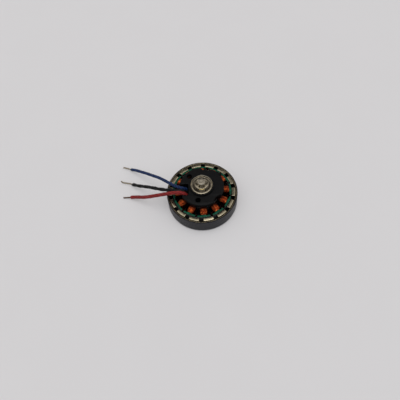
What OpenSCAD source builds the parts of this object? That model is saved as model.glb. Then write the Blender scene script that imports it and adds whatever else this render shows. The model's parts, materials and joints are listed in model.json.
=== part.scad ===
// Brushless outrunner motor, lying on its closed bell face with the mounting base up.
// The rotor (bell, flux ring, magnets, shaft) turns about Z around the wound stator.
// Origin on the shaft axis, at the plane that the bell rests on. All sizes in millimetres.

/* [Bell] */
// Outer diameter of the bell
bell_d = 28; // [27:0.1:29]
// Height of the bell from the closed face to the rim
bell_h = 6.6; // [6.6:0.1:7]
// Thickness of the closed face
floor_t = 1.1; // [0.9:0.05:1.1]
// Wall of the bell outside the flux ring
skirt_t = 0.45; // [0.4:0.05:0.5]
// Number of cooling windows in the closed face
vents = 6; // [3:1:8]

/* [Rotor] */
// Number of magnets
poles = 14; // [10:2:14]
// Radial thickness of a magnet
magnet_t = 1.25; // [1.2:0.05:1.4]
// Width of a magnet round the ring
magnet_w = 4.1; // [3.6:0.1:4.3]
// Direction of the first magnet, in degrees
magnet_phase = 97.9; // [0:0.1:360]
// Wall of the steel flux ring
flux_t = 0.5; // [0.4:0.05:0.5]
// Diameter of the shaft
shaft_d = 3; // [2.9:0.05:3]
// Height of the shaft's free end above the rim
shaft_end = 7.4; // [7.2:0.1:9]

/* [Stator] */
// Number of wound teeth
teeth = 12; // [9:3:12]
// Radial gap between the teeth and the magnets
air_gap = 0.25; // [0.25:0.05:0.4]
// Width of a tooth's stem
stem_w = 1.6; // [1.4:0.1:1.6]
// Opening between two tooth tips, in degrees
slot_deg = 5.2; // [4:0.1:7]
// Thickness of the winding on each side of a stem
winding_t = 0.75; // [0.6:0.05:0.75]

/* [Base] */
// Diameter of the mounting plate
plate_d = 17.2; // [17:0.1:17.4]
// Thickness of the mounting plate
plate_t = 1.5; // [1.2:0.1:1.6]
// Height of the plate's outer face above the bell's rim
plate_rise = 4.2; // [4.1:0.1:4.6]
// Circle of the three mounting screws
screw_pcd = 13; // [12.8:0.1:13.4]
// Diameter of a tapped mounting hole
screw_hole_d = 1.6; // [1.5:0.1:2]
// Direction of the first mounting screw, in degrees
screw_phase = 14; // [0:1:30]

/* [Bearings] */
// Outer diameter of a bearing
bearing_d = 8; // [8:0.1:8]
// Width of a bearing
bearing_w = 3; // [3:0.1:3]
// Number of balls in a bearing
balls = 7; // [6:1:8]

/* [Leads] */
// Diameter of an insulated lead
lead_d = 1.3; // [1.2:0.05:1.4]
// Diameter of a lead's bare end
bare_d = 0.6; // [0.5:0.05:0.8]

/* [Hidden] */
$fn = 72;
clear = 0.01;   // cutters reach this far past a face

// Rotor
bell_r = bell_d / 2;
bell_chamfer = 0.4;
rim_chamfer = 0.12;
flux_r = bell_r - skirt_t;
magnet_out_r = flux_r - flux_t;
magnet_in_r = magnet_out_r - magnet_t;
magnet_low_z = 1.5;
hub_r = 2.3;
hub_z = 1.5;
prop_pcd = 12;
prop_holes = 4;
prop_hole_d = 2.05;
vent_r = 9.3;
vent_w = 2;
vent_sweep = 32;

// Bearings, each stated by the height of its lower face
lower_z = 1.75;
upper_z = bell_h + 5 - bearing_w;
shaft_r = shaft_d / 2;
bearing_r = bearing_d / 2;
race_in_r = 2.15;
race_out_r = 3.4;
ball_pitch_r = (race_in_r + race_out_r) / 2;
ball_r = 0.72;
ball_play = 0.03;
groove_r = ball_r + ball_play;
cage_in_r = 2.45;
cage_out_r = 3.1;
shield_t = 0.15;
shield_inset = 0.1;
shield_in_r = race_in_r + 0.1;

// Stack on the shaft above the upper bearing
washer_z = upper_z + bearing_w;
washer_t = 0.4;
spacer_t = 0.3;
clip_t = 0.5;
clip_z = washer_z + washer_t + spacer_t;
clip_groove_r = 1.2;
clip_out_r = 2.75;
clip_mouth_w = 2.1;
shaft_top = bell_h + shaft_end;

// Stator
tip_r = magnet_in_r - air_gap;
tip_t = 0.7;
yoke_in_r = 5;
yoke_out_r = 6.6;
core_low_z = 2.9;
core_h = 3.8;
coat_t = 0.3;
coat_low_z = core_low_z - coat_t;
coat_top_z = core_low_z + core_h + coat_t;
tooth_deg = 360 / teeth;
tip_deg = tooth_deg - slot_deg;
coil_in_r = 6.75;
coil_out_r = tip_r - tip_t - 0.2;
end_turn_t = 1.1;
coil_round = 1.2;

// Base
plate_r = plate_d / 2;
plate_top = bell_h + plate_rise;
plate_low = plate_top - plate_t;
tube_r = 5;
tube_low = 1.65;
collar_r = 4.75;
collar_top = washer_z + 0.15;
seat_r = bearing_r;
shoulder_r = 3.5;
relief_r = 3;
relief_centre_r = 10.3;
wire_slot_w = 5;
wire_slot_in_x = -5.15;
wire_slot_y = -1.1;
wire_slot_round = 0.6;
base_edge = 0.25;

// Leads, each a hand-laid route from the windings to the end of its bare strands
blue_route = [
    [-6, 0.2, 8.7], [-6.6, 0.1, 9.4], [-7.3, 0.05, 10], [-8.4, 0.15, 10.4],
    [-9.8, 0.8, 10.4], [-11.5, 2, 10.15], [-13.5, 3.75, 9.6], [-15.5, 5.65, 8.8],
    [-17.5, 7.45, 7.8], [-20, 9.45, 6.5], [-22.6, 11.55, 5.15], [-25.2, 13.5, 3.8],
    [-27.8, 15.4, 2.45], [-29.8, 16.6, 1.4], [-31.6, 17.75, 0.8], [-33.4, 18.55, 0.5]
];
black_route = [
    [-6, -1.3, 8.7], [-6.6, -1.35, 9.4], [-7.4, -1.4, 10.15], [-8.6, -1.45, 10.6],
    [-10, -1.25, 10.6], [-12, -0.6, 10.15], [-14, 0.2, 9.4], [-16.2, 1.25, 8.45],
    [-18.5, 2.6, 7.3], [-21, 4.15, 5.9], [-23.5, 5.65, 4.4], [-26, 7.1, 2.9],
    [-28.9, 8.95, 1.4], [-30.4, 9.9, 0.8], [-32, 10.4, 0.6], [-33.2, 10.7, 0.8],
    [-33.9, 11.15, 1.2]
];
red_route = [
    [-5.9, -2.7, 8.8], [-6.5, -2.7, 9.9], [-7.3, -2.75, 10.8], [-8.5, -2.75, 11.35],
    [-10, -2.55, 11.3], [-12, -2.1, 10.5], [-14, -1.75, 9.6], [-16.2, -1.3, 8.45],
    [-18.5, -0.75, 7.15], [-21, -0.1, 5.65], [-23.5, 0.7, 4.2], [-26, 1.8, 2.7],
    [-28, 2.6, 1.6], [-29.4, 2.9, 1.1], [-31, 3.2, 0.6], [-32.7, 3.3, 0.5]
];
blue_bare = 2;    // points of the route that lie past the insulation
black_bare = 4;
red_bare = 2;
lead_sides = 8;

function two_digits(i) = i < 10 ? str("0", i) : str(i);
magnet_names = [for (i = [1:poles]) str("magnet_", two_digits(i))];
coil_names = [for (i = [1:teeth]) str("coil_", two_digits(i))];

// ---- shared shapes ----

module ring(r_out, r_in, h, z = 0) {
    translate([0, 0, z])
        difference() {
            cylinder(r = r_out, h = h);
            translate([0, 0, -clear]) cylinder(r = r_in, h = h + 2 * clear);
        }
}

// A sector of a flat ring, centred on +X
module arc_plate(r_in, r_out, sweep, h, z = 0) {
    translate([0, 0, z])
        rotate([0, 0, -sweep / 2])
            rotate_extrude(angle = sweep)
                translate([r_in, 0]) square([r_out - r_in, h]);
}

function cross3(a, b) = [
    a[1] * b[2] - a[2] * b[1],
    a[2] * b[0] - a[0] * b[2],
    a[0] * b[1] - a[1] * b[0]
];
function unit(v) = v / norm(v);
function slice(list, first, last) = [for (i = [first:last]) list[i]];

// The direction of a route at point i, from its two neighbours
function heading(route, i) =
    unit(route[min(i + 1, len(route) - 1)] - route[max(i - 1, 0)]);

function ring_points(route, i, r) =
    let (along = heading(route, i),
         side = unit(cross3([0, 0, 1], along)),
         up = cross3(along, side))
    [for (k = [0:lead_sides - 1])
        route[i] + r * (cos(k * 360 / lead_sides) * side + sin(k * 360 / lead_sides) * up)];

// A round tube swept along a route, with one ring of points at each point of the route
module swept_tube(route, d) {
    n = lead_sides;
    last = len(route) - 1;
    points = [for (i = [0:last], p = ring_points(route, i, d / 2)) p];
    walls = [for (i = [0:last - 1], k = [0:n - 1])
        [i * n + k, i * n + (k + 1) % n, (i + 1) * n + (k + 1) % n, (i + 1) * n + k]];
    start_cap = [for (k = [n - 1:-1:0]) k];
    end_cap = [for (k = [0:n - 1]) last * n + k];
    polyhedron(points, concat(walls, [start_cap, end_cap]));
}

// ---- rotor ----

module bell_outline() {
    polygon([
        [shaft_r, 0], [bell_r - bell_chamfer, 0], [bell_r, bell_chamfer],
        [bell_r, bell_h - rim_chamfer], [bell_r - rim_chamfer, bell_h], [flux_r, bell_h],
        [flux_r, floor_t], [hub_r, floor_t], [hub_r, hub_z], [shaft_r, hub_z]
    ]);
}

module vent_window() {
    arc_plate(vent_r - vent_w / 2, vent_r + vent_w / 2, vent_sweep, floor_t + 2 * clear, -clear);
    for (side = [-1, 1])
        rotate([0, 0, side * vent_sweep / 2])
            translate([vent_r, 0, -clear])
                cylinder(r = vent_w / 2, h = floor_t + 2 * clear);
}

module bell() {
    color("dimgray")
        difference() {
            rotate_extrude() bell_outline();
            for (i = [0:vents - 1])
                rotate([0, 0, i * 360 / vents]) vent_window();
            for (i = [0:prop_holes - 1])
                rotate([0, 0, 45 + i * 360 / prop_holes])
                    translate([prop_pcd / 2, 0, -clear])
                        cylinder(d = prop_hole_d, h = floor_t + 2 * clear, $fn = 36);
        }
}

module flux_ring() {
    color("goldenrod") ring(flux_r, magnet_out_r, bell_h - floor_t - 0.05, floor_t);
}

module magnet(i) {
    sweep = magnet_w / magnet_out_r * 180 / PI;
    color("lightgoldenrodyellow")
        rotate([0, 0, magnet_phase + (i - 1) * 360 / poles])
            arc_plate(magnet_in_r, magnet_out_r, sweep, bell_h - magnet_low_z, magnet_low_z);
}

module shaft() {
    end_chamfer = 0.2;
    color("silver")
        rotate_extrude()
            polygon([
                [0, 0.2], [shaft_r, 0.2], [shaft_r, clip_z], [clip_groove_r, clip_z],
                [clip_groove_r, clip_z + clip_t], [shaft_r, clip_z + clip_t],
                [shaft_r, shaft_top - end_chamfer], [shaft_r - end_chamfer, shaft_top],
                [0, shaft_top]
            ]);
}

module hub_shim() {
    color("silver") ring(2.05, shaft_r, lower_z - hub_z, hub_z);
}

module thrust_washer() {
    color("gold") ring(2.5, shaft_r, washer_t, washer_z);
}

module clip_spacer() {
    color("silver") ring(2.2, shaft_r, spacer_t, washer_z + washer_t);
}

// The retaining clip in the shaft's groove, with its mouth towards -Y
module e_clip() {
    relief = 0.75;
    color("gainsboro")
        translate([0, 0, clip_z])
            difference() {
                cylinder(r = clip_out_r, h = clip_t);
                translate([0, 0, -clear]) cylinder(r = clip_groove_r, h = clip_t + 2 * clear);
                translate([-clip_mouth_w / 2, -clip_out_r - 1, -clear])
                    cube([clip_mouth_w, clip_out_r + 1, clip_t + 2 * clear]);
                for (side = [-1, 1])
                    rotate([0, 0, 90 + side * 78])
                        translate([clip_groove_r + 0.35, 0, -clear])
                            cylinder(r = relief, h = clip_t + 2 * clear, $fn = 36);
            }
}

// ---- bearings, drawn from their own lower face ----

module ball_groove() {
    rotate_extrude()
        translate([ball_pitch_r, bearing_w / 2]) circle(r = groove_r, $fn = 48);
}

module inner_race() {
    color("silver")
        difference() {
            ring(race_in_r, shaft_r, bearing_w);
            ball_groove();
        }
}

module outer_race() {
    color("silver")
        difference() {
            ring(bearing_r, race_out_r, bearing_w);
            ball_groove();
        }
}

module place_balls(r) {
    for (i = [0:balls - 1])
        rotate([0, 0, i * 360 / balls])
            translate([ball_pitch_r, 0, bearing_w / 2]) sphere(r = r, $fn = 48);
}

module cage() {
    color("peru")
        difference() {
            ring(cage_out_r, cage_in_r, 0.7, bearing_w / 2 - 0.95);
            place_balls(ball_r + 0.02);
        }
}

module shields() {
    color("gray")
        for (z = [shield_inset, bearing_w - shield_inset - shield_t])
            ring(race_out_r, shield_in_r, shield_t, z);
}

module ball_set() {
    color("white") place_balls(ball_r);
}

// ---- stator ----

// An opening that runs out towards -X, with two rounded inner corners
module wire_slot() {
    reach = plate_r;
    translate([-reach, -wire_slot_w / 2]) square([reach - wire_slot_round, wire_slot_w]);
    translate([-reach, wire_slot_round - wire_slot_w / 2])
        square([reach, wire_slot_w - 2 * wire_slot_round]);
    for (side = [-1, 1])
        translate([-wire_slot_round, side * (wire_slot_w / 2 - wire_slot_round)])
            circle(r = wire_slot_round);
}

module plate_outline() {
    difference() {
        circle(r = plate_r);
        for (i = [0:1])
            rotate([0, 0, screw_phase + 60 - i * 120])
                translate([relief_centre_r, 0]) circle(r = relief_r);
        translate([wire_slot_in_x, wire_slot_y]) wire_slot();
    }
}

// The plate, its bearing tube and the collar round the upper bearing, turned as one piece
module base_mount() {
    color("#303030")
        difference() {
            union() {
                translate([0, 0, plate_low]) linear_extrude(plate_t) plate_outline();
                translate([0, 0, tube_low]) cylinder(r = tube_r, h = plate_low - tube_low + clear);
                translate([0, 0, plate_low])
                    rotate_extrude()
                        polygon([
                            [0, 0], [collar_r, 0],
                            [collar_r, collar_top - plate_low - base_edge],
                            [collar_r - base_edge, collar_top - plate_low],
                            [0, collar_top - plate_low]
                        ]);
            }
            translate([0, 0, -clear]) cylinder(r = seat_r, h = lower_z + bearing_w + clear);
            translate([0, 0, lower_z]) cylinder(r = shoulder_r, h = shaft_top);
            translate([0, 0, upper_z]) cylinder(r = seat_r, h = shaft_top);
            for (i = [0:2])
                rotate([0, 0, screw_phase + i * 120])
                    translate([screw_pcd / 2, 0, plate_low - clear])
                        cylinder(d = screw_hole_d, h = plate_t + 2 * clear, $fn = 36);
        }
}

// The stamped outline of a lamination: a ring with one stem and one curved tip for each tooth
module lamination(h, z) {
    ring(yoke_out_r, yoke_in_r, h, z);
    for (i = [0:teeth - 1])
        rotate([0, 0, i * tooth_deg]) {
            translate([yoke_out_r - 0.3, -stem_w / 2, z])
                cube([tip_r - tip_t - yoke_out_r + 0.5, stem_w, h]);
            arc_plate(tip_r - tip_t, tip_r, tip_deg, h, z);
        }
}

module stator_core() {
    color("slategray") lamination(core_h, core_low_z);
}

module upper_insulator() {
    color("seagreen") lamination(coat_t, coat_top_z - coat_t);
}

module lower_insulator() {
    color("seagreen") lamination(coat_t, coat_low_z);
}

// One winding: a rounded block with the coated stem through it
module coil(i) {
    w = stem_w + 2 * winding_t;
    h = coat_top_z - coat_low_z + 2 * end_turn_t;
    color("darkorange")
        rotate([0, 0, (i - 1) * tooth_deg])
            translate([coil_in_r, 0, coat_low_z - end_turn_t])
                rotate([90, 0, 90])
                    linear_extrude(coil_out_r - coil_in_r)
                        difference() {
                            union() {
                                translate([-w / 2, coil_round]) square([w, h - 2 * coil_round]);
                                translate([-w / 2 + coil_round, 0])
                                    square([w - 2 * coil_round, h]);
                                for (x = [-1, 1], y = [coil_round, h - coil_round])
                                    translate([x * (w / 2 - coil_round), y])
                                        circle(r = coil_round, $fn = 32);
                            }
                            translate([-stem_w / 2, end_turn_t])
                                square([stem_w, h - 2 * end_turn_t]);
                        }
}

// ---- leads ----

module insulated_lead(route, bare) {
    swept_tube(slice(route, 0, len(route) - 1 - bare), lead_d);
}

module bare_strands(route, bare) {
    swept_tube(slice(route, len(route) - 1 - bare, len(route) - 1), bare_d);
}

// ---- the nodes ----

bell();
flux_ring();
shaft();
hub_shim();
thrust_washer();
clip_spacer();
e_clip();
for (i = [1:poles]) magnet(i);
translate([0, 0, upper_z]) inner_race();  // upper_inner_race
translate([0, 0, upper_z]) outer_race();  // upper_outer_race
translate([0, 0, upper_z]) ball_set();  // upper_ball_set
translate([0, 0, upper_z]) cage();  // upper_cage
translate([0, 0, upper_z]) shields();  // upper_shields
translate([0, 0, lower_z]) inner_race();  // lower_inner_race
translate([0, 0, lower_z]) outer_race();  // lower_outer_race
translate([0, 0, lower_z]) ball_set();  // lower_ball_set
translate([0, 0, lower_z]) cage();  // lower_cage
translate([0, 0, lower_z]) shields();  // lower_shields
base_mount();
stator_core();
upper_insulator();
lower_insulator();
for (i = [1:teeth]) coil(i);
color("royalblue") insulated_lead(blue_route, blue_bare);  // lead_blue
color("silver") bare_strands(blue_route, blue_bare);  // lead_blue_strands
color("darkslategray") insulated_lead(black_route, black_bare);  // lead_black
color("silver") bare_strands(black_route, black_bare);  // lead_black_strands
color("firebrick") insulated_lead(red_route, red_bare);  // lead_red
color("peru") bare_strands(red_route, red_bare);  // lead_red_strands
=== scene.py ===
import json
import math

import bmesh
import bpy
import numpy as np
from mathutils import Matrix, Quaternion, Vector
from mathutils.geometry import tessellate_polygon


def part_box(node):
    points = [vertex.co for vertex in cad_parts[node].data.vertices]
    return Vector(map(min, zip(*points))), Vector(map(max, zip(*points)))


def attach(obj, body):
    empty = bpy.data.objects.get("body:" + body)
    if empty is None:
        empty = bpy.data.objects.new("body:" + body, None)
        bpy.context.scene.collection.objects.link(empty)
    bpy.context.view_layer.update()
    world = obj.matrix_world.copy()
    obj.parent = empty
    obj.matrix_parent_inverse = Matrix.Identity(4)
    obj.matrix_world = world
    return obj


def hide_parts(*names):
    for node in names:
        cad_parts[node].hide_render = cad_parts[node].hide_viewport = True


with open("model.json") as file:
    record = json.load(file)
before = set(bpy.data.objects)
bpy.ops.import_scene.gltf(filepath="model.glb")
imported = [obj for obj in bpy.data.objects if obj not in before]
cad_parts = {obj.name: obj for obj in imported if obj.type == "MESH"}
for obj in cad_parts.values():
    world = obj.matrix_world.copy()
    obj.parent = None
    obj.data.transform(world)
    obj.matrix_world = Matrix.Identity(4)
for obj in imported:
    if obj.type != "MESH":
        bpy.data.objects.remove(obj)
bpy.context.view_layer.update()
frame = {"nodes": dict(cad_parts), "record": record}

MM = 0.001


# ---------------------------------------------------------------- camera

def add_camera():
    """Looks along +Y and down onto the bell's rim, from close enough for some perspective."""
    elevation = math.radians(59.2)
    distance = 0.1464
    roll = math.radians(-4.2)
    data = bpy.data.cameras.new("camera")
    data.sensor_width = 36
    data.lens = 33.3
    data.clip_start = 0.005
    data.shift_x = -0.0053
    data.shift_y = -0.0216
    camera = bpy.data.objects.new("camera", data)
    bpy.context.scene.collection.objects.link(camera)
    rim_centre = Vector((0, 0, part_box("bell")[1].z))
    away = Vector((0, -math.cos(elevation), math.sin(elevation)))
    camera.location = rim_centre + distance * away
    camera.rotation_mode = "QUATERNION"
    aim = (-away).to_track_quat("-Z", "Y")
    camera.rotation_quaternion = aim @ Quaternion((0, 0, 1), roll)
    bpy.context.scene.camera = camera


add_camera()


# ---------------------------------------------------------------- mesh helpers

def add_mesh(name, points_mm, faces, materials, face_material=None, sharp=40):
    """A mesh object from points in millimetres, smooth but for edges sharper than that angle."""
    mesh = bpy.data.meshes.new(name)
    mesh.from_pydata([tuple(c * MM for c in p) for p in points_mm], [], faces)
    for material in materials:
        mesh.materials.append(material)
    if face_material is not None:
        mesh.polygons.foreach_set("material_index", face_material)
    mesh.update()
    finish_shading(mesh, sharp)
    piece = bpy.data.objects.new(name, mesh)
    bpy.context.scene.collection.objects.link(piece)
    return piece


def finish_shading(mesh, sharp=40):
    """Faces look outwards and are smooth but for the edges sharper than that angle."""
    work = bmesh.new()
    work.from_mesh(mesh)
    bmesh.ops.recalc_face_normals(work, faces=work.faces)
    work.to_mesh(mesh)
    work.free()
    mesh.polygons.foreach_set("use_smooth", [True] * len(mesh.polygons))
    mesh.set_sharp_from_angle(angle=math.radians(sharp))


def flat_normals(piece):
    """Large flat faces keep flat shading next to their rounded edges."""
    modifier = piece.modifiers.new("normals", "WEIGHTED_NORMAL")
    modifier.keep_sharp = True


def place(piece, body, slot, *nodes):
    """Puts a piece on its body and hides the CAD nodes that it stands for. slot is not used."""
    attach(piece, body)
    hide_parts(*nodes)


def fillet(profile, radius, steps=4):
    """A closed (r, z) profile with its corners rounded. radius is one number, or one for each corner."""
    n = len(profile)
    radii = [radius] * n if isinstance(radius, (int, float)) else radius
    out = []
    for i, corner in enumerate(profile):
        here = np.array(corner, float)
        before = np.array(profile[i - 1], float) - here
        after = np.array(profile[(i + 1) % n], float) - here
        r = min(radii[i], 0.45 * np.linalg.norm(before), 0.45 * np.linalg.norm(after))
        if r <= 0:
            out.append(tuple(here))
            continue
        start = here + r * before / np.linalg.norm(before)
        end = here + r * after / np.linalg.norm(after)
        for k in range(steps + 1):
            t = k / steps
            out.append(tuple((1 - t) ** 2 * start + 2 * t * (1 - t) * here + t * t * end))
    return out


def lathe(profile, segments, centre=(0, 0)):
    """Points and faces of a closed (r, z) profile turned about a vertical line.
    A run of points on the axis closes the solid there."""
    n = len(profile)
    points, faces, index = [], [], {}
    for i, (r, height) in enumerate(profile):
        for k in range(1 if r < 1e-6 else segments):
            turn = 2 * math.pi * k / segments
            index[i, k] = len(points)
            points.append((centre[0] + r * math.cos(turn), centre[1] + r * math.sin(turn), height))
    for i in range(n):
        j = (i + 1) % n
        for k in range(segments):
            m = (k + 1) % segments
            corners = [index.get((i, k)), index.get((i, m)), index.get((j, m)), index.get((j, k))]
            if corners[0] is None or corners[1] is None:
                corners = [index[i, 0], index.get((j, m)), index.get((j, k))]
            elif corners[2] is None or corners[3] is None:
                corners = [index[i, k], index[i, m], index[j, 0]]
            if None not in corners and len(set(corners)) > 2:
                faces.append(corners)
    return points, faces


def inset(loop, distance):
    """A closed 2D loop moved sideways by distance, into the area on its left."""
    p = np.array(loop, float)
    ahead = np.roll(p, -1, axis=0) - p
    ahead /= np.linalg.norm(ahead, axis=1)[:, None]
    behind = np.roll(ahead, 1, axis=0)
    normal = np.stack([-(ahead + behind)[:, 1], (ahead + behind)[:, 0]], 1)
    length = np.linalg.norm(normal, axis=1)
    normal /= length[:, None]
    stretch = np.minimum(2 / np.maximum(length, 0.5), 1.6)
    return p + distance * normal * stretch[:, None]


def rounded_levels(low, high, edge, steps=3):
    """(inset, height) pairs of a plate with quarter-round edges, from its lower face to its upper one."""
    turns = [math.pi / 2 * k / steps for k in range(steps + 1)]
    bottom = [(edge * (1 - math.sin(t)), low + edge * (1 - math.cos(t))) for t in turns]
    top = [(edge * (1 - math.cos(t)), high - edge * (1 - math.sin(t))) for t in turns]
    return bottom + top


def plate(loops, levels):
    """Points and faces of a plate. The first loop is its outline, anticlockwise, and the others are
    holes, clockwise. levels are (inset, height) pairs."""
    points, faces, rings = [], [], []
    for loop in loops:
        n = len(loop)
        first = len(points)
        for distance, height in levels:
            points += [(x, y, height) for x, y in inset(loop, distance)]
        for level in range(len(levels) - 1):
            a, b = first + level * n, first + (level + 1) * n
            faces += [[a + k, a + (k + 1) % n, b + (k + 1) % n, b + k] for k in range(n)]
        rings.append((first, n))
    for level in (0, len(levels) - 1):
        index = [first + level * n + k for first, n in rings for k in range(n)]
        outlines = [[Vector(points[first + level * n + k]) for k in range(n)] for first, n in rings]
        faces += [[index[k] for k in triangle] for triangle in tessellate_polygon(outlines)]
    return points, faces


def join(*shells):
    """Several (points, faces) as one."""
    points, faces = [], []
    for more_points, more_faces in shells:
        shift = len(points)
        points += list(more_points)
        faces += [[k + shift for k in face] for face in more_faces]
    return points, faces


def arc(r, start, end, steps):
    """Points round the origin from start to end, in degrees."""
    turns = np.radians(np.linspace(start, end, steps + 1))
    return [(r * math.cos(t), r * math.sin(t)) for t in turns]


def circle(x, y, r, steps):
    return [(x + px, y + py) for px, py in arc(r, 0, 360, steps)[:-1]]


def turned(points, degrees):
    c, s = math.cos(math.radians(degrees)), math.sin(math.radians(degrees))
    return [(x * c - y * s, x * s + y * c, *rest) for x, y, *rest in points]


def carve(piece, shell, operation="DIFFERENCE"):
    """Cuts another solid out of a piece, or adds it, and keeps only the result."""
    tool = add_mesh("tool", *shell, [])
    modifier = piece.modifiers.new("carve", "BOOLEAN")
    modifier.object = tool
    modifier.operation = operation
    modifier.solver = "EXACT"
    bpy.context.view_layer.update()
    evaluated = piece.evaluated_get(bpy.context.evaluated_depsgraph_get())
    result = bpy.data.meshes.new_from_object(evaluated)
    piece.modifiers.clear()
    piece.data = result
    bpy.data.objects.remove(tool)
    finish_shading(piece.data)


def smooth_route(route, step):
    """A Catmull-Rom curve through the route's points, in millimetres, evenly spaced."""
    p = np.array(route) / MM
    p = np.vstack([2 * p[0] - p[1], p, 2 * p[-1] - p[-2]])
    fine = []
    for i in range(1, len(p) - 2):
        for t in np.linspace(0, 1, 24, endpoint=False):
            a, b, c, d = p[i - 1:i + 3]
            fine.append(0.5 * (2 * b + (c - a) * t + (2 * a - 5 * b + 4 * c - d) * t * t
                               + (3 * b - a - 3 * c + d) * t ** 3))
    fine = np.array(fine + [p[-2]])
    along = np.concatenate([[0], np.cumsum(np.linalg.norm(np.diff(fine, axis=0), axis=1))])
    count = max(2, round(along[-1] / step))
    even = np.linspace(0, along[-1], count + 1)
    return np.stack([np.interp(even, along, fine[:, k]) for k in range(3)], 1), even


def cross_frames(line):
    """Two unit vectors across a line at each of its points, carried along without twist."""
    tangent = np.gradient(line, axis=0)
    tangent /= np.linalg.norm(tangent, axis=1)[:, None]
    side = np.cross((0.0, 0.0, 1.0), tangent[0])
    side /= np.linalg.norm(side)
    sides = []
    for t in tangent:
        side = side - t * (side @ t)
        side /= np.linalg.norm(side)
        sides.append(side)
    sides = np.array(sides)
    return sides, np.cross(tangent, sides)


def tube(line, radius, sides, shape=None):
    """Points and faces of a tube. shape(turn, i) scales the radius round ring i."""
    across, over = cross_frames(line)
    n = len(line)
    turns = np.arange(sides) * 2 * math.pi / sides
    points = []
    for i in range(n):
        r = radius[i] if hasattr(radius, "__len__") else radius
        scale = np.ones(sides) if shape is None else shape(turns, i)
        ring = line[i] + r * scale[:, None] * (
            np.cos(turns)[:, None] * across[i] + np.sin(turns)[:, None] * over[i])
        points += [tuple(p) for p in ring]
    faces = [[i * sides + k, i * sides + (k + 1) % sides,
              (i + 1) * sides + (k + 1) % sides, (i + 1) * sides + k]
             for i in range(n - 1) for k in range(sides)]
    faces += [list(range(sides))[::-1], [(n - 1) * sides + k for k in range(sides)]]
    return points, faces


# ---------------------------------------------------------------- materials

class Nodes:
    """A short way to write a material's nodes. Sizes in them are in millimetres of the part."""

    def __init__(self, name):
        self.material = bpy.data.materials.new(name)
        self.material.use_nodes = True
        self.tree = self.material.node_tree
        self.shader = self.tree.nodes["Principled BSDF"]
        place_of = self.add("ShaderNodeTexCoord")
        scale = self.add("ShaderNodeMapping")
        scale.inputs["Scale"].default_value = (1 / MM, 1 / MM, 1 / MM)
        self.link(place_of.outputs["Object"], scale.inputs["Vector"])
        self.mm = scale.outputs["Vector"]

    def add(self, kind, **values):
        node = self.tree.nodes.new(kind)
        for key, value in values.items():
            setattr(node, key, value)
        return node

    def link(self, a, b):
        self.tree.links.new(a, b)

    def stretched(self, x, y, z):
        node = self.add("ShaderNodeMapping")
        node.inputs["Scale"].default_value = (x, y, z)
        self.link(self.mm, node.inputs["Vector"])
        return node.outputs["Vector"]

    def noise(self, scale, detail=3, rough=0.55, vector=None):
        node = self.add("ShaderNodeTexNoise")
        node.inputs["Scale"].default_value = scale
        node.inputs["Detail"].default_value = detail
        node.inputs["Roughness"].default_value = rough
        self.link(vector or self.mm, node.inputs["Vector"])
        return node.outputs["Fac"]

    def wave(self, scale, kind, wobble, detail=1):
        """BANDS lie one above the other along Z, and RINGS go round Z."""
        node = self.add("ShaderNodeTexWave", wave_type=kind, bands_direction="Z", rings_direction="Z")
        node.inputs["Scale"].default_value = scale
        node.inputs["Distortion"].default_value = wobble
        node.inputs["Detail"].default_value = detail
        self.link(self.mm, node.inputs["Vector"])
        return node.outputs["Fac"]

    def from_axis(self, near, far):
        """0 within near of the shaft's axis, 1 beyond far."""
        flat = self.stretched(1, 1, 0)
        length = self.add("ShaderNodeVectorMath", operation="LENGTH")
        self.link(flat, length.inputs[0])
        share = self.add("ShaderNodeMapRange", interpolation_type="SMOOTHSTEP")
        share.inputs["From Min"].default_value = near
        share.inputs["From Max"].default_value = far
        self.link(length.outputs["Value"], share.inputs["Value"])
        return share.outputs[0]

    def math(self, operation, a, b):
        node = self.add("ShaderNodeMath", operation=operation)
        for socket, value in zip(node.inputs, (a, b)):
            if isinstance(value, (int, float)):
                socket.default_value = value
            else:
                self.link(value, socket)
        return node.outputs[0]

    def ramp(self, factor, *stops):
        """Each stop is (position, colour)."""
        node = self.add("ShaderNodeValToRGB")
        elements = node.color_ramp.elements
        while len(elements) < len(stops):
            elements.new(0.5)
        for element, (position, colour) in zip(elements, stops):
            element.position = position
            element.color = (*colour, 1)
        self.link(factor, node.inputs["Fac"])
        return node.outputs["Color"]

    def mix(self, factor, a, b):
        """Colour a where factor is 0 and colour b where it is 1."""
        node = self.add("ShaderNodeMix", data_type="RGBA")
        self.link(factor, node.inputs[0])
        for socket, value in zip(node.inputs[6:8], (a, b)):
            if isinstance(value, tuple):
                socket.default_value = (*value, 1)
            else:
                self.link(value, socket)
        return node.outputs[2]

    def bump(self, height, depth_mm, strength):
        node = self.add("ShaderNodeBump")
        node.inputs["Strength"].default_value = strength
        node.inputs["Distance"].default_value = depth_mm * MM
        self.link(height, node.inputs["Height"])
        self.link(node.outputs["Normal"], self.shader.inputs["Normal"])

    def finish(self, colour, rough, **fixed):
        """fixed holds sockets of the shader that have one value all over the surface."""
        self.link(colour, self.shader.inputs["Base Color"])
        if isinstance(rough, (int, float)):
            self.shader.inputs["Roughness"].default_value = rough
        else:
            self.link(rough, self.shader.inputs["Roughness"])
        for key, value in fixed.items():
            self.shader.inputs[key.replace("_", " ")].default_value = value
        return self.material

    def between(self, factor, low, high):
        """factor from 0 to 1 spread from low to high."""
        return self.math("ADD", self.math("MULTIPLY", factor, high - low), low)


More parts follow.
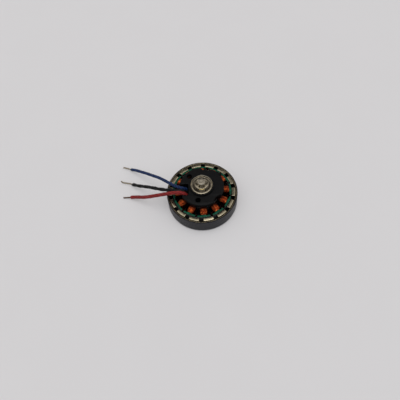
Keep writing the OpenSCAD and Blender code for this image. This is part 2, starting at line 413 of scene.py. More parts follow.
def anodised(name, dark, light, rough, shine, lines=False):
    """Dyed aluminium: a fine etched grain, and turned lines on a lathe-cut face."""
    n = Nodes(name)
    grain = n.noise(9, detail=4, rough=0.7)
    cloud = n.noise(0.7, detail=2)
    colour = n.ramp(n.math("ADD", n.math("MULTIPLY", grain, 0.5), n.math("MULTIPLY", cloud, 0.5)),
                    (0.3, dark), (0.7, light))
    height = n.math("MULTIPLY", grain, 0.5)
    if lines:
        rings = n.wave(1.1, "RINGS", 0.15)
        bands = n.wave(2.3, "BANDS", 0.1)
        height = n.math("ADD", height, n.math("ADD", rings, bands))
    n.bump(height, 0.012 if lines else 0.02, 0.6)
    return n.finish(colour, n.between(grain, rough - 0.06, rough + 0.08), Specular_IOR_Level=shine)


def metal(name, dark, light, rough, brushed=(1, 1, 1), spots=0.0):
    """Bare or plated metal with streaks along the axes where brushed is small. spots makes its patches
    differ more in roughness."""
    n = Nodes(name)
    streaks = n.noise(7, detail=4, rough=0.6, vector=n.stretched(*brushed))
    cloud = n.noise(1.3, detail=3)
    mixed = n.math("ADD", n.math("MULTIPLY", streaks, 0.55), n.math("MULTIPLY", cloud, 0.45))
    colour = n.ramp(mixed, (0.32, dark), (0.62, light))
    n.bump(streaks, 0.006, 0.7)
    rough_map = n.between(mixed, rough - 0.08 - spots, rough + 0.1 + spots)
    return n.finish(colour, rough_map, Metallic=1.0)


def turned_steel(name, dark, light, rough, ring_scale=3.0):
    """Ground or turned metal whose marks run round the shaft's axis."""
    n = Nodes(name)
    rings = n.wave(ring_scale, "RINGS", 0.3, detail=2)
    cloud = n.noise(1.6, detail=3)
    mixed = n.math("ADD", n.math("MULTIPLY", rings, 0.3), n.math("MULTIPLY", cloud, 0.7))
    colour = n.ramp(mixed, (0.3, dark), (0.65, light))
    n.bump(rings, 0.004, 0.5)
    return n.finish(colour, n.between(mixed, rough - 0.06, rough + 0.1), Metallic=1.0)


def enamelled_wire():
    """Copper under a reddish enamel, with painted shade near the shaft, where the mounting plate shades the
    windings.
    """
    n = Nodes("enamelled_copper")
    tone = n.noise(1.1, detail=2)
    fine = n.noise(6, detail=3)
    colour = n.ramp(n.math("ADD", n.math("MULTIPLY", tone, 0.7), n.math("MULTIPLY", fine, 0.3)),
                    (0.36, (0.13, 0.015, 0.006)), (0.5, (0.34, 0.055, 0.014)), (0.64, (0.66, 0.165, 0.038)))
    # painted shade: the windings are darkened inside 7.9 to 9.4 mm from the axis, under the mounting plate
    colour = n.mix(n.from_axis(7.9, 9.4), (0.026, 0.007, 0.005), colour)
    n.bump(fine, 0.004, 0.4)
    return n.finish(colour, n.between(fine, 0.20, 0.32), Metallic=1.0)


def epoxy_coat():
    """A glossy green coat with a slight orange peel, and painted shade near the shaft, under the mounting
    plate.
    """
    n = Nodes("green_epoxy")
    cloud = n.noise(0.9, detail=3)
    peel = n.noise(3.2, detail=2)
    colour = n.ramp(cloud, (0.3, (0.0025, 0.036, 0.019)), (0.55, (0.005, 0.068, 0.036)),
                    (0.75, (0.014, 0.12, 0.068)))
    # painted shade: the coat is darkened inside 7.4 to 8.6 mm from the axis, under the mounting plate
    colour = n.mix(n.from_axis(7.4, 8.6), (0.003, 0.006, 0.007), colour)
    n.bump(peel, 0.03, 0.6)
    return n.finish(colour, n.between(peel, 0.22, 0.38), Specular_IOR_Level=0.09)


def laminations():
    """The cut edges of a stack of steel sheets, with some dirt on them."""
    n = Nodes("lamination_stack")
    sheets = n.wave(1.6, "BANDS", 0.05)
    dirt = n.noise(2.5, detail=4)
    colour = n.mix(n.math("MULTIPLY", dirt, 0.8), (0.30, 0.29, 0.28), (0.09, 0.085, 0.08))
    n.bump(n.math("ADD", sheets, n.math("MULTIPLY", dirt, 0.4)), 0.012, 0.6)
    return n.finish(colour, n.between(dirt, 0.35, 0.6), Metallic=0.85)


def sleeve(name, dark, light, dent_shade, end):
    """A thin plastic sleeve with painted shade in the dents between the strands, and worn at its cut end.
    """
    n = Nodes(name)
    cloud = n.noise(0.8, detail=3)
    fine = n.noise(12, detail=3)
    colour = n.ramp(cloud, (0.3, dark), (0.7, light))
    # painted shade: the dents between the ribs get a darker colour
    in_dent_shade = n.add("ShaderNodeAttribute", attribute_name="dent_shade").outputs["Fac"]
    colour = n.mix(in_dent_shade, colour, dent_shade)
    near_end = n.add("ShaderNodeAttribute", attribute_name="near_end").outputs["Fac"]
    colour = n.mix(near_end, colour, end)
    n.bump(fine, 0.008, 0.4)
    return n.finish(colour, n.between(fine, 0.29, 0.46), Specular_IOR_Level=0.13)


def glowing_floor():
    """A pale table that the room lights, with a painted glow of its own that lightens the shade round the
    motor, but not under the bell.
    """
    n = Nodes("glowing_floor")
    grain = n.noise(0.04, detail=2)
    colour = n.ramp(grain, (0.3, (0.400, 0.391, 0.392)), (0.7, (0.406, 0.397, 0.398)))
    # painted light: the floor glows, except under the bell
    glow = n.math("MULTIPLY", n.from_axis(13.6, 14.4), 0.242)
    n.link(glow, n.shader.inputs["Emission Strength"])
    return n.finish(colour, 0.8, Specular_IOR_Level=0.1, Emission_Color=(1.0, 0.975, 0.98, 1))


MAT = {
    "bell": anodised("bell_anodised", (0.004, 0.004, 0.006), (0.008, 0.008, 0.012), 0.38, 0.17, lines=True),
    "base": anodised("base_anodised", (0.0020, 0.0020, 0.0022), (0.0040, 0.0040, 0.0042), 0.45, 0.09),
    "bare_edge": turned_steel("turned_edge", (0.26, 0.205, 0.105), (0.48, 0.395, 0.225), 0.30),
    "lip": turned_steel("turned_lip", (0.30, 0.27, 0.20), (0.60, 0.54, 0.42), 0.20, 2.0),
    "flux": turned_steel("flux_ring_steel", (0.022, 0.020, 0.016), (0.055, 0.046, 0.034), 0.30),
    "magnet": metal("nickel_plating", (0.18, 0.155, 0.105), (0.42, 0.37, 0.26), 0.20, (1, 1, 0.3), 0.02),
    "shaft": turned_steel("ground_shaft", (0.23, 0.205, 0.16), (0.39, 0.35, 0.275), 0.30, 4.0),
    "clip": metal("spring_steel", (0.12, 0.10, 0.07), (0.38, 0.335, 0.25), 0.16, spots=0.01),
    "brass": turned_steel("washer_brass", (0.24, 0.18, 0.075), (0.50, 0.40, 0.20), 0.18),
    "race": turned_steel("race_steel", (0.24, 0.21, 0.155), (0.56, 0.50, 0.385), 0.13, 2.0),
    "shield": turned_steel("shield_steel", (0.05, 0.043, 0.033), (0.17, 0.147, 0.112), 0.20, 2.0),
    "ball": metal("ball_steel", (0.66, 0.66, 0.66), (0.86, 0.86, 0.86), 0.12),
    "cage": metal("cage_brass", (0.34, 0.24, 0.10), (0.62, 0.46, 0.22), 0.32),
    "lamination": laminations(),
    "epoxy": epoxy_coat(),
    "wire": enamelled_wire(),
    # the third colour of each sleeve is the painted shade in its dents, and the fourth is its worn end
    "blue": sleeve("blue_sleeve", (0.008, 0.021, 0.070), (0.014, 0.036, 0.118), (0.002, 0.0045, 0.016),
                   (0.014, 0.034, 0.056)),
    "black": sleeve("black_sleeve", (0.003, 0.003, 0.0034), (0.008, 0.0076, 0.008), (0.0012, 0.001, 0.0012),
                    (0.005, 0.0042, 0.0042)),
    "red": sleeve("red_sleeve", (0.17, 0.013, 0.013), (0.26, 0.024, 0.022), (0.09, 0.006, 0.006),
                  (0.20, 0.018, 0.020)),
    "tinned": metal("tinned_strands", (0.07, 0.058, 0.045), (0.42, 0.36, 0.26), 0.34, spots=0.05),
    "copper": metal("copper_strands", (0.04, 0.020, 0.013), (0.15, 0.078, 0.048), 0.40, spots=0.05),
}


# ---------------------------------------------------------------- leads (free cords)

# Each route is the lead's own, from the windings to the end of its bare strands, in metres.
BLUE_ROUTE = [
    (-0.0060, 0.0002, 0.0087), (-0.0066, 0.0001, 0.0094), (-0.0073, 0.00005, 0.0100),
    (-0.0084, 0.00015, 0.0104), (-0.0098, 0.0008, 0.0104), (-0.0115, 0.0020, 0.01015),
    (-0.0135, 0.00375, 0.0096), (-0.0155, 0.00565, 0.0088), (-0.0175, 0.00745, 0.0078),
    (-0.0200, 0.00945, 0.0065), (-0.0226, 0.01155, 0.00515), (-0.0252, 0.0135, 0.0038),
    (-0.0278, 0.0154, 0.00245), (-0.0298, 0.0166, 0.0014), (-0.0316, 0.01775, 0.0008),
    (-0.0334, 0.01855, 0.0005),
]
BLACK_ROUTE = [
    (-0.0060, -0.0013, 0.0087), (-0.0066, -0.00135, 0.0094), (-0.0074, -0.0014, 0.01015),
    (-0.0086, -0.00145, 0.0106), (-0.0100, -0.00125, 0.0106), (-0.0120, -0.0006, 0.01015),
    (-0.0140, 0.0002, 0.0094), (-0.0162, 0.00125, 0.00845), (-0.0185, 0.0026, 0.0073),
    (-0.0210, 0.00415, 0.0059), (-0.0235, 0.00565, 0.0044), (-0.0260, 0.0071, 0.0029),
    (-0.0289, 0.00895, 0.0014), (-0.0304, 0.0099, 0.0008), (-0.0320, 0.0104, 0.0006),
    (-0.0332, 0.0107, 0.0008), (-0.0339, 0.01115, 0.0012),
]
RED_ROUTE = [
    (-0.0059, -0.0027, 0.0088), (-0.0065, -0.0027, 0.0099), (-0.0073, -0.00275, 0.0108),
    (-0.0085, -0.00275, 0.01135), (-0.0100, -0.00255, 0.0113), (-0.0120, -0.0021, 0.0105),
    (-0.0140, -0.00175, 0.0096), (-0.0162, -0.0013, 0.00845), (-0.0185, -0.00075, 0.00715),
    (-0.0210, -0.0001, 0.00565), (-0.0235, 0.0007, 0.0042), (-0.0260, 0.0018, 0.0027),
    (-0.0280, 0.0026, 0.0016), (-0.0294, 0.0029, 0.0011), (-0.0310, 0.0032, 0.0006),
    (-0.0327, 0.0033, 0.0005),
]
# The rest is in millimetres.
LEAD_D = 1.3
STRAND_R = 0.1
STRAND_LAY = 4.0    # length in which a strand turns once round its lead


def strand_shells(line, along):
    """Seven strands: one in the middle and six twisted round it, with blunt, slightly spread ends."""
    across, over = cross_frames(line)
    shells = [tube(line, STRAND_R, 8)]
    for i in range(6):
        turn = 2 * math.pi * (i / 6 + along / STRAND_LAY)
        spread = 2 * STRAND_R * (1 + 0.25 * np.clip((along - along[-1] + 0.8) / 0.8, 0, 1))
        path = line + spread[:, None] * (np.cos(turn)[:, None] * across + np.sin(turn)[:, None] * over)
        shells.append(tube(path[:len(path) - i % 3], STRAND_R, 8))
    return shells


def add_lead(colour, route, bare_points, ribs, rib_depth, lay, strands, swell):
    """A sleeve shrunk over twisted strands, which come out bare at its end. The ribs turn once round
    the lead in the length lay. The sleeve's radius is half of LEAD_D plus swell."""
    line, along = smooth_route(route, 0.12)
    bare_from = np.array(route[len(route) - 1 - bare_points]) / MM
    last = int(np.argmin(np.linalg.norm(line - bare_from, axis=1)))
    covered, distance = line[:last + 1], along[:last + 1]
    radius = np.full(len(covered), LEAD_D / 2 + swell)
    radius += 0.02 * np.sin(distance * 1.9) + 0.012 * np.sin(distance * 4.3 + 1)
    shrink = np.clip((distance[-1] - distance) / 0.4, 0, 1)
    radius *= 0.80 + 0.20 * np.sqrt(shrink)

    def lobes(turns, i):
        return np.abs(np.cos(0.5 * ribs * (turns - 2 * math.pi * distance[i] / lay)))

    sides = 32
    cover_points, cover_faces = tube(
        covered, radius, sides, lambda turns, i: 1 + rib_depth / (LEAD_D / 2) * (lobes(turns, i) - 0.6))
    inner = strand_shells(line[last - 2:], along[last - 2:])
    points, faces = join((cover_points, cover_faces), *inner)
    face_material = [0] * len(cover_faces) + [1] * (len(faces) - len(cover_faces))
    piece = add_mesh(f"{colour}_lead", points, faces, [MAT[colour], MAT[strands]], face_material, 60)

    around = np.arange(sides) * 2 * math.pi / sides
    # painted shade mask: 1 in the dents between the ribs, where the sleeve is darkened
    dent_shade = np.concatenate([np.clip(1.25 - 1.6 * lobes(around, i), 0, 1) for i in range(len(covered))])
    near_end = np.repeat(np.clip(1 - (distance[-1] - distance) / 1.8, 0, 1), sides)
    for name, values in (("dent_shade", dent_shade), ("near_end", near_end)):
        layer = piece.data.attributes.new(name, "FLOAT", "POINT")
        layer.data.foreach_set("value", np.concatenate([values, np.zeros(len(points) - len(values))]))

    place(piece, "stator", f"lead_{colour}", f"lead_{colour}", f"lead_{colour}_strands")
    return float(along[-1])


lead_lengths = {
    "blue": add_lead("blue", BLUE_ROUTE, 2, 3, 0.17, 3.6, "tinned", -0.06),
    "black": add_lead("black", BLACK_ROUTE, 4, 2, 0.16, 8.0, "tinned", 0.0),
    "red": add_lead("red", RED_ROUTE, 2, 5, 0.03, 9.0, "copper", 0.06),
}
print("lead lengths in mm:", {k: round(v, 1) for k, v in lead_lengths.items()})


# ---------------------------------------------------------------- stage and light

def add_floor():
    size = 2.0
    mesh = bpy.data.meshes.new("floor")
    mesh.from_pydata([(-size, -size, 0), (size, -size, 0), (size, size, 0), (-size, size, 0)], [],
                     [[0, 1, 2, 3]])
    mesh.materials.append(glowing_floor())
    floor = bpy.data.objects.new("floor", mesh)
    bpy.context.scene.collection.objects.link(floor)


def add_lighting():
    """A room with a bright spot overhead and two darker places: the part of the far wall that the motor's
    level faces mirror, and a part of the near wall."""
    world = bpy.data.worlds.new("studio")
    world.use_nodes = True
    tree = world.node_tree
    background = tree.nodes["Background"]
    direction = tree.nodes.new("ShaderNodeTexCoord").outputs["Generated"]

    def towards(x, y, z, start, end, low, high):
        """A value that goes from low to high while the cosine from that direction goes from start to
        end."""
        cosine = tree.nodes.new("ShaderNodeVectorMath")
        cosine.operation = "DOT_PRODUCT"
        cosine.inputs[1].default_value = Vector((x, y, z)).normalized()
        tree.links.new(direction, cosine.inputs[0])
        share = tree.nodes.new("ShaderNodeMapRange")
        share.interpolation_type = "SMOOTHSTEP"
        for key, value in (("From Min", start), ("From Max", end), ("To Min", low), ("To Max", high)):
            share.inputs[key].default_value = value
        tree.links.new(cosine.outputs["Value"], share.inputs["Value"])
        return share.outputs[0]

    def combine(operation, a, b):
        node = tree.nodes.new("ShaderNodeMath")
        node.operation = operation
        tree.links.new(a, node.inputs[0])
        tree.links.new(b, node.inputs[1])
        return node.outputs[0]

    room = towards(0, 0, 1, 0.0, 0.9, 0.66, 0.95)
    far_wall = towards(0, 0.743, 0.669, 0.92, 0.96, 1.0, 0.06)
    near_side = towards(0, -0.85, 0.52, 0.90, 0.98, 1.0, 0.2)
    ceiling = towards(0, 0, 1, 0.92, 0.98, 0.0, 2.4)
    walls = combine("MULTIPLY", combine("MULTIPLY", room, far_wall), near_side)
    brightness = combine("ADD", walls, ceiling)
    tree.links.new(brightness, background.inputs["Strength"])
    tint = tree.nodes.new("ShaderNodeMix")
    tint.data_type = "RGBA"
    tint.inputs[6].default_value = (0.93, 0.975, 1.03, 1)
    tint.inputs[7].default_value = (1.02, 0.985, 0.96, 1)
    tree.links.new(towards(0, 1, 0, -0.8, 0.8, 0.0, 1.0), tint.inputs[0])
    tree.links.new(tint.outputs[2], background.inputs["Color"])
    bpy.context.scene.world = world


add_floor()
add_lighting()
bpy.context.scene.view_settings.view_transform = "Standard"


# ---------------------------------------------------------------- measures of the motor

# All are in millimetres or degrees.
BELL_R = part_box("bell")[1].x / MM
BELL_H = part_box("bell")[1].z / MM
FLOOR_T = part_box("flux_ring")[0].z / MM
FLUX_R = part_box("flux_ring")[1].x / MM
MAGNET_OUT_R = FLUX_R - 0.5
MAGNET_IN_R = MAGNET_OUT_R - 1.25
MAGNETS = 14
MAGNET_PHASE = 97.9             # of the middle of magnet_01
TEETH = 12
TIP_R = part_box("stator_core")[1].x / MM
CORE_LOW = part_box("stator_core")[0].z / MM
CORE_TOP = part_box("stator_core")[1].z / MM
COAT_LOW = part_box("lower_insulator")[0].z / MM
COAT_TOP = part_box("upper_insulator")[1].z / MM
COIL_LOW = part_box("coil_01")[0].z / MM
COIL_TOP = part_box("coil_01")[1].z / MM
COIL_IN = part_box("coil_01")[0].x / MM
COIL_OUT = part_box("coil_01")[1].x / MM
TIP_T = 0.7
PLATE_TOP = frame["record"]["mounts"][0]["pos_m"][2] / MM
COLLAR_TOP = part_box("base_mount")[1].z / MM
UPPER_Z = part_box("upper_outer_race")[0].z / MM
LOWER_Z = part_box("lower_outer_race")[0].z / MM
BEARING_W = 3.0
SHAFT_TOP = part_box("shaft")[1].z / MM
CLIP_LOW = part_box("e_clip")[0].z / MM
CLIP_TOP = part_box("e_clip")[1].z / MM
SHAFT_R = 1.5
TUBE_R = 5.0
YOKE_R = 6.6
STEM_W = 1.6
SEAT_R = 4.0                    # of the bearings
SCREW_PHASE = 14                # of the first of the base's three screws
M2 = (0.8, 0.93, 0.4)           # radius of the drill and of the thread, and the pitch
M2_5 = (1.025, 1.17, 0.45)
WIRE_R = 0.185


# ---------------------------------------------------------------- rotor

def tapped_cutter(x, y, low, high, drill_r, thread_r, pitch):
    """The shape that cuts a tapped hole: a drill with thread grooves and a countersunk mouth."""
    mouth_r, outside_r = thread_r + 0.12, thread_r + 0.25
    profile = [(0, low - 0.1), (outside_r, low - 0.1), (mouth_r, low)]
    z = low + 0.15
    while z < high - 0.2:
        profile += [(drill_r, z), (thread_r, z + pitch / 2)]
        z += pitch
    profile += [(drill_r, high - 0.14), (mouth_r, high), (outside_r, high + 0.1), (0, high + 0.1)]
    return lathe(profile, 28, (x, y))


def kidney(r, width, sweep, centre):
    """The outline of a curved slot with round ends."""
    half = sweep / 2
    end = circle(r, 0, width / 2, 24)
    outline = arc(r + width / 2, -half, half, 10)[1:-1] + turned(end[:13], half)
    outline += arc(r - width / 2, half, -half, 10)[1:-1] + turned(end[12:] + end[:1], -half)
    return turned(outline, centre)


def add_bell():
    """A cup with its closed face down, two turned grooves in that face, vents and tapped holes."""
    hub_r, hub_top, screw_circle_r = 2.3, 1.5, 6
    profile = fillet([
        (SHAFT_R, 0.12), (SHAFT_R + 0.12, 0), (7.4, 0), (7.5, 0.1), (7.7, 0.1), (7.8, 0),
        (11.95, 0), (12.05, 0.1), (12.25, 0.1), (12.35, 0), (BELL_R - 0.4, 0), (BELL_R, 0.4),
        (BELL_R, BELL_H - 0.12), (BELL_R - 0.12, BELL_H), (FLUX_R, BELL_H), (FLUX_R, FLOOR_T),
        (hub_r, FLOOR_T), (hub_r, hub_top), (SHAFT_R, hub_top),
    ], [0] + [0.04] * 9 + [0.15, 0.15, 0.05, 0.05, 0.03] + [0.02] * 4, 3)
    bell = add_mesh("bell_shell", *lathe(profile, 224), [MAT["bell"]])
    cuts = []
    for i in range(6):
        vent = kidney(9.3, 2.0, 32, i * 60)
        cuts.append(plate([vent], [(-0.12, -0.02), (0, 0.1), (0, 1.0), (-0.12, FLOOR_T + 0.02)]))
    for i in range(4):
        turn = math.radians(45 + i * 90)
        x, y = screw_circle_r * math.cos(turn), screw_circle_r * math.sin(turn)
        cuts.append(tapped_cutter(x, y, 0, FLOOR_T, *M2_5))
    carve(bell, join(*cuts))
    flat_normals(bell)
    place(bell, "rotor", "bell_black", "bell")


def add_flux_ring():
    """The ring is dark but for the turned edge that shows beside the bell's rim."""
    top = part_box("flux_ring")[1].z / MM
    profile = fillet([
        (MAGNET_OUT_R, FLOOR_T), (FLUX_R, FLOOR_T), (FLUX_R, top - 0.02), (FLUX_R - 0.02, top),
        (FLUX_R - 0.08, top), (FLUX_R - 0.14, top - 0.06), (MAGNET_OUT_R + 0.12, top - 0.06),
        (MAGNET_OUT_R, top - 0.16),
    ], 0.02, 2)
    ring = add_mesh("flux_ring_steel", *lathe(profile, 224), [MAT["flux"], MAT["bare_edge"]])
    flat_normals(ring)
    for face in ring.data.polygons:
        if face.center.xy.length / MM > FLUX_R - 0.1 and face.center.z / MM > top - 0.05:
            face.material_index = 1
    place(ring, "rotor", "flux_steel", "flux_ring")


def add_magnets():
    """Curved blocks with rounded edges. Each sits a hair off its even place, as glued magnets do."""
    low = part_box("magnet_01")[0].z / MM
    width = 4.1
    half = math.degrees(width / MAGNET_OUT_R) / 2
    middle = (MAGNET_IN_R + MAGNET_OUT_R) / 2
    rng = np.random.default_rng(5)
    for i in range(MAGNETS):
        drop = rng.uniform(0.02, 0.07)
        lean, roll = rng.uniform(-0.035, 0.035, 2)
        a = half - rng.uniform(0.1, 0.3)
        outer = arc(MAGNET_OUT_R - 0.01, -a, a, 12)
        inner = arc(MAGNET_IN_R, a, -a, 12)
        outline = fillet(outer + inner, [0.25 if k in (0, 12, 13, 25) else 0 for k in range(26)], 4)
        points, faces = plate([outline], rounded_levels(low, BELL_H - drop, 0.10, 4))
        top = low + 0.6 * (BELL_H - low)
        tilted = [(x, y, z if z < top else min(z + lean * (x - middle) + roll * y, BELL_H))
                  for x, y, z in points]
        shell = (turned(tilted, MAGNET_PHASE + i * 360 / MAGNETS), faces)
        magnet = add_mesh(f"magnet_{i + 1:02d}_block", *shell, [MAT["magnet"]])
        flat_normals(magnet)
        place(magnet, "rotor", "magnet_nickel", f"magnet_{i + 1:02d}")


def add_shaft():
    """A rod with chamfered ends, a groove for the clip and a centre mark in its free end."""
    groove_r = 1.2
    profile = [
        (0, 0.2), (SHAFT_R - 0.15, 0.2), (SHAFT_R, 0.35), (SHAFT_R, CLIP_LOW), (groove_r, CLIP_LOW),
        (groove_r, CLIP_TOP), (SHAFT_R, CLIP_TOP), (SHAFT_R, SHAFT_TOP - 0.22), (SHAFT_R - 0.22, SHAFT_TOP),
        (0.28, SHAFT_TOP), (0.12, SHAFT_TOP - 0.1), (0, SHAFT_TOP - 0.14),
    ]
    radii = [0, 0.03, 0.03, 0.03, 0.05, 0.05, 0.03, 0.08, 0.08, 0.03, 0.03, 0]
    shaft = add_mesh("shaft_rod", *lathe(fillet(profile, radii, 3), 72), [MAT["shaft"]])
    flat_normals(shaft)
    place(shaft, "rotor", "shaft_steel", "shaft")


def add_washer(name, node, outer, material, slot):
    low, high = (corner.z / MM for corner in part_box(node))
    profile = fillet([(SHAFT_R, low), (outer, low), (outer, high), (SHAFT_R, high)], 0.07, 3)
    washer = add_mesh(name, *lathe(profile, 72), [MAT[material]])
    flat_normals(washer)
    place(washer, "rotor", slot, node)


def add_e_clip():
    """A stamped clip: a round outer edge, three pads that grip the groove, and a mouth towards -Y."""
    outer_r, grip_r, relief_r, mouth = 2.72, 1.21, 1.85, 1.02
    mouth_angle = math.degrees(math.asin(mouth / outer_r))
    outline = arc(outer_r, -90 + mouth_angle, 270 - mouth_angle, 56)
    inner = []
    for a in np.linspace(270 - 40, -90 + 40, 90):
        off = min(abs((a - pad + 180) % 360 - 180) for pad in (90, 205, 335))
        blend = np.clip((off - 14) / 16, 0, 1)
        r = grip_r + (relief_r - grip_r) * blend * blend * (3 - 2 * blend)
        inner.append((r * math.cos(math.radians(a)), r * math.sin(math.radians(a))))
    shell = plate([outline + inner], rounded_levels(CLIP_LOW, CLIP_TOP, 0.08, 3))
    clip = add_mesh("retaining_clip", *shell, [MAT["clip"]])
    flat_normals(clip)
    place(clip, "rotor", "clip_steel", "e_clip")


# ---------------------------------------------------------------- bearings

GROOVE_POINTS = 9


def race_groove(pitch_r, radius, centre_z, inwards, reach):
    """Points of the ball groove in a race's (r, z) profile, from low to high. reach is the race's radius
    beside the groove."""
    half = math.acos(min(1, abs(reach - pitch_r) / radius))
    turns = np.linspace(-half, half, GROOVE_POINTS)
    sign = -1 if inwards else 1
    return [(pitch_r + sign * radius * math.cos(t), centre_z + radius * math.sin(t)) for t in turns]


def add_bearing(side, z):
    """The two races and the two shields of a bearing whose lower face is at height z."""
    pitch, groove, mid = 2.775, 0.75, z + BEARING_W / 2
    inner_r, outer_r = 2.15, 3.4
    top = z + BEARING_W
    inner_groove = race_groove(pitch, groove, mid, True, inner_r)
    outer_groove = race_groove(pitch, groove, mid, False, outer_r)
    inner = [(SHAFT_R, z), (inner_r, z), *inner_groove, (inner_r, top), (SHAFT_R, top)]
    outer = [(SEAT_R, z), (SEAT_R, top), (outer_r, top), *outer_groove[::-1], (outer_r, z)]
    soft = [0.09, 0.05] + [0] * GROOVE_POINTS + [0.05, 0.09]
    race = add_mesh(f"{side}_inner_ring", *lathe(fillet(inner, soft, 3), 72), [MAT["race"]])
    flat_normals(race)
    place(race, "rotor", "bearing_steel", f"{side}_inner_race")
    soft = [0.14, 0.14, 0.05] + [0] * GROOVE_POINTS + [0.05]
    race = add_mesh(f"{side}_outer_ring", *lathe(fillet(outer, soft, 4), 96), [MAT["race"]])
    flat_normals(race)
    place(race, "stator", "bearing_steel", f"{side}_outer_race")

    def shield(face, inward):
        """A pressed disc with a rolled rim and a shallow step. face is the height of its outer side, and
        inward is 1 or -1."""
        steps = [
            (2.27, 0.15), (2.27, 0.03), (2.6, 0.02), (2.7, 0.09), (3.08, 0.09), (3.18, 0), (3.3, 0),
            (3.36, 0.07), (3.36, 0.16),
        ]
        return lathe(fillet([(r, face + depth * inward) for r, depth in steps], 0.03, 2), 96)

    shells = join(shield(z + 0.1, 1), shield(top - 0.1, -1))
    pair = add_mesh(f"{side}_bearing_shields", *shells, [MAT["shield"]])
    place(pair, "stator", "shield_steel", f"{side}_shields")


# ---------------------------------------------------------------- stator

def stator_outline(grow=0.0):
    """Twelve stems with curved tips round the yoke, anticlockwise."""
    outline = []
    step = 360 / TEETH
    half_stem = STEM_W / 2 + grow
    stem_at = math.degrees(math.asin(half_stem / YOKE_R))
    stem_tip_at = math.degrees(math.asin(half_stem / (TIP_R - TIP_T)))
    slot_opening = 5.2
    tip_half = (step - slot_opening) / 2 + math.degrees(grow / TIP_R)
    under = [(TIP_R - TIP_T + 0.15 * t - grow, stem_tip_at + (tip_half - stem_tip_at) * t)
             for t in (0, 0.35, 0.7, 1)]
    foot_x = math.sqrt(YOKE_R ** 2 - half_stem ** 2) + 0.25
    for i in range(TEETH):
        tooth = arc(YOKE_R + grow, -step / 2 + 1.5, -stem_at - 2, 2)
        tooth.append((foot_x, -half_stem))
        tooth += [(r * math.cos(math.radians(a)), -r * math.sin(math.radians(a))) for r, a in under]
        tooth += arc(TIP_R + grow, -tip_half, tip_half, 10)
        tooth += [(r * math.cos(math.radians(a)), r * math.sin(math.radians(a))) for r, a in under[::-1]]
        tooth.append((foot_x, half_stem))
        tooth += arc(YOKE_R + grow, stem_at + 2, step / 2 - 1.5, 2)
        outline += turned(tooth, i * step)
    return outline


def add_core():
    """The stack's sheets show as fine steps in its sides."""
    sheets = 19
    pitch = (CORE_TOP - CORE_LOW) / sheets
    levels = []
    for i in range(sheets):
        z = CORE_LOW + i * pitch
        levels += [(0.025, z), (0, z + 0.25 * pitch), (0, z + 0.8 * pitch)]
    levels.append((0.025, CORE_TOP))
    bore = circle(0, 0, TUBE_R + 0.01, 72)[::-1]
    shell = plate([stator_outline(), bore], levels)
    core = add_mesh("lamination_stack", *shell, [MAT["lamination"]], sharp=50)
    place(core, "stator", "lamination_steel", "stator_core")


def add_insulator(name, node, low, high):
    """An epoxy coat with soft edges, a little thicker in some places than in others."""
    bore = circle(0, 0, TUBE_R + 0.01, 72)[::-1]
    points, faces = plate([stator_outline(0.03), bore], rounded_levels(low, high, 0.13, 4))
    uneven = []
    for x, y, z in points:
        swell = 0.02 * math.sin(1.7 * x + 0.6 * y) * math.cos(1.3 * y - 0.4 * x)
        uneven.append((x, y, z + swell * (z - CORE_LOW) / (CORE_TOP - CORE_LOW)))
    coat = add_mesh(name, uneven, faces, [MAT["epoxy"]], sharp=70)
    flat_normals(coat)
    place(coat, "stator", "insulator_green", node)


def turn_points(half_w, low, high, corner, x_start, x_end):
    """One turn of wire round the stem of a tooth that points along +X, moving from x_start to x_end."""
    outline = fillet([(half_w, low), (half_w, high), (-half_w, high), (-half_w, low)], corner, 5)
    loop = np.array(outline + outline[:1])
    along = np.concatenate([[0], np.cumsum(np.linalg.norm(np.diff(loop, axis=0), axis=1))])
    even = np.linspace(0, along[-1], 30, endpoint=False)
    y = np.interp(even, along, loop[:, 0])
    z = np.interp(even, along, loop[:, 1])
    share = even / along[-1]
    move = np.clip((share - 0.3) / 0.4, 0, 1)
    x = x_start + (x_end - x_start) * move
    return np.stack([x, y, z], 1)


def coil_line(rng):
    """The path of one winding: an inner layer out along the stem, and an outer one back over most of it,
    highest towards the tooth's tip."""
    first_x, last_x = COIL_IN + WIRE_R, COIL_OUT - WIRE_R
    turns = round((last_x - first_x) / (2 * WIRE_R)) + 1
    gap = (last_x - first_x) / (turns - 1)
    half_w = 1.55 - WIRE_R
    path = []
    for i in range(turns):
        x = first_x + i * gap
        sag = rng.uniform(0, 0.05)
        path.append(turn_points(STEM_W / 2 + WIRE_R + 0.01, COAT_LOW - WIRE_R - 0.02,
                                COAT_TOP + WIRE_R + 0.02 + sag, 0.5, x, x + gap if i < turns - 1 else x))
    over = turns - 3
    for i in range(over):
        x = first_x + (turns - 1.5 - i) * gap
        bulge = math.sin(math.pi * ((i + 1) / (over + 1)) ** 0.7) + rng.uniform(-0.06, 0.06)
        path.append(turn_points(STEM_W / 2 + 3 * WIRE_R, COAT_LOW - 3 * WIRE_R - 0.05 - 0.12 * bulge,
                                COAT_TOP + 3 * WIRE_R + 0.30 * bulge, 1.2, x, x - gap))
    line = np.concatenate(path)
    line[:, 0] = np.clip(line[:, 0], first_x, last_x)
    line[:, 1] = np.clip(line[:, 1], -half_w, half_w)
    line[:, 2] = np.clip(line[:, 2], COIL_LOW + WIRE_R, COIL_TOP - WIRE_R)
    return line


def add_coils():
    rng = np.random.default_rng(11)
    for i in range(TEETH):
        points, faces = tube(coil_line(rng), WIRE_R, 8)
        points = turned(points, i * 360 / TEETH)
        coil = add_mesh(f"coil_{i + 1:02d}_winding", points, faces, [MAT["wire"]], sharp=80)
        place(coil, "stator", "winding_copper", f"coil_{i + 1:02d}")


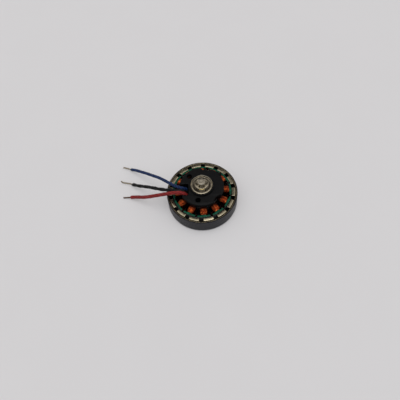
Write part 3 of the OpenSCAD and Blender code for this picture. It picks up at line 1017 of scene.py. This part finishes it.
def base_outline():
    """The mounting plate: a disc with two shallow reliefs and the slot that the leads come through."""
    r = 8.6
    relief_centre_r, relief_r = 10.3, 3
    outline = []
    slot_low, slot_high, slot_in, slot_mouth = -3.6, 1.4, -5.15, -7.6
    low_at = 360 + math.degrees(math.atan2(slot_low, -math.sqrt(r * r - slot_low ** 2)))
    high_at = math.degrees(math.atan2(slot_high, -math.sqrt(r * r - slot_high ** 2)))
    for a in np.linspace(low_at - 360, high_at, 240):
        reach = r
        for centre in (SCREW_PHASE + 60, SCREW_PHASE - 60):
            off = math.radians((a - centre + 180) % 360 - 180)
            across = relief_centre_r * math.sin(off)
            if abs(across) < relief_r and abs(off) < 1:
                cut = relief_centre_r * math.cos(off) - math.sqrt(relief_r ** 2 - across ** 2)
                reach = min(reach, cut)
        outline.append((reach * math.cos(math.radians(a)), reach * math.sin(math.radians(a))))
    return outline + fillet(
        [(slot_mouth, slot_high), (slot_in, slot_high), (slot_in, slot_low), (slot_mouth, slot_low)],
        [0, 0.6, 0.6, 0], 6)


def add_base():
    """The plate, the bearing tube with its collar, and three tapped holes. The collar's inner edge is
    left bright."""
    plate_t, shoulder, screw_circle_r = 1.5, 3.5, 6.5
    plate_low = PLATE_TOP - plate_t
    centre_hole = circle(0, 0, 4.4, 72)[::-1]
    levels = [(0.15, plate_low), (0, plate_low + 0.15), (0, PLATE_TOP - 0.25), (0.06, PLATE_TOP - 0.09),
              (0.22, PLATE_TOP)]
    base = add_mesh("mounting_base", *plate([base_outline(), centre_hole], levels), [MAT["base"]])
    tube_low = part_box("base_mount")[0].z / MM
    collar_r = 4.75
    profile = fillet([
        (SEAT_R + 0.1, tube_low), (TUBE_R - 0.1, tube_low), (TUBE_R, tube_low + 0.1),
        (TUBE_R, plate_low + 0.3), (collar_r, plate_low + 0.5), (collar_r, COLLAR_TOP - 0.3),
        (collar_r - 0.25, COLLAR_TOP), (SEAT_R + 0.2, COLLAR_TOP), (SEAT_R, COLLAR_TOP - 0.2),
        (SEAT_R, UPPER_Z), (shoulder, UPPER_Z), (shoulder, LOWER_Z + BEARING_W),
        (SEAT_R, LOWER_Z + BEARING_W), (SEAT_R, tube_low + 0.1),
    ], 0.04, 2)
    carve(base, lathe(profile, 144), "UNION")
    holes = []
    for i in range(3):
        turn = math.radians(SCREW_PHASE + i * 120)
        x, y = screw_circle_r * math.cos(turn), screw_circle_r * math.sin(turn)
        holes.append(tapped_cutter(x, y, plate_low, PLATE_TOP, *M2))
    carve(base, join(*holes))
    base.data.materials.append(MAT["lip"])
    for face in base.data.polygons:
        r = face.center.xy.length / MM
        if face.center.z / MM > COLLAR_TOP - 0.28 and SEAT_R < r < SEAT_R + 0.2:
            face.material_index = 1
    flat_normals(base)
    place(base, "stator", "base_black", "base_mount")


# ---------------------------------------------------------------- build

add_bell()
add_flux_ring()
add_magnets()
add_shaft()
add_washer("brass_thrust_washer", "thrust_washer", 2.5, "brass", "washer_brass")
add_washer("steel_spacer", "clip_spacer", 2.2, "clip", "clip_steel")
add_washer("hub_shim_ring", "hub_shim", 2.05, "clip", "clip_steel")
add_e_clip()
add_bearing("upper", UPPER_Z)
add_bearing("lower", LOWER_Z)
add_core()
add_insulator("upper_epoxy_coat", "upper_insulator", CORE_TOP, COAT_TOP)
add_insulator("lower_epoxy_coat", "lower_insulator", COAT_LOW, CORE_LOW)
add_coils()
add_base()

# The balls and cages keep their CAD shapes and get only a material.
for side in ("upper", "lower"):
    for node, material in (("ball_set", "ball"), ("cage", "cage")):
        inner_part = frame["nodes"][f"{side}_{node}"]
        inner_part.data.materials.clear()
        inner_part.data.materials.append(MAT[material])
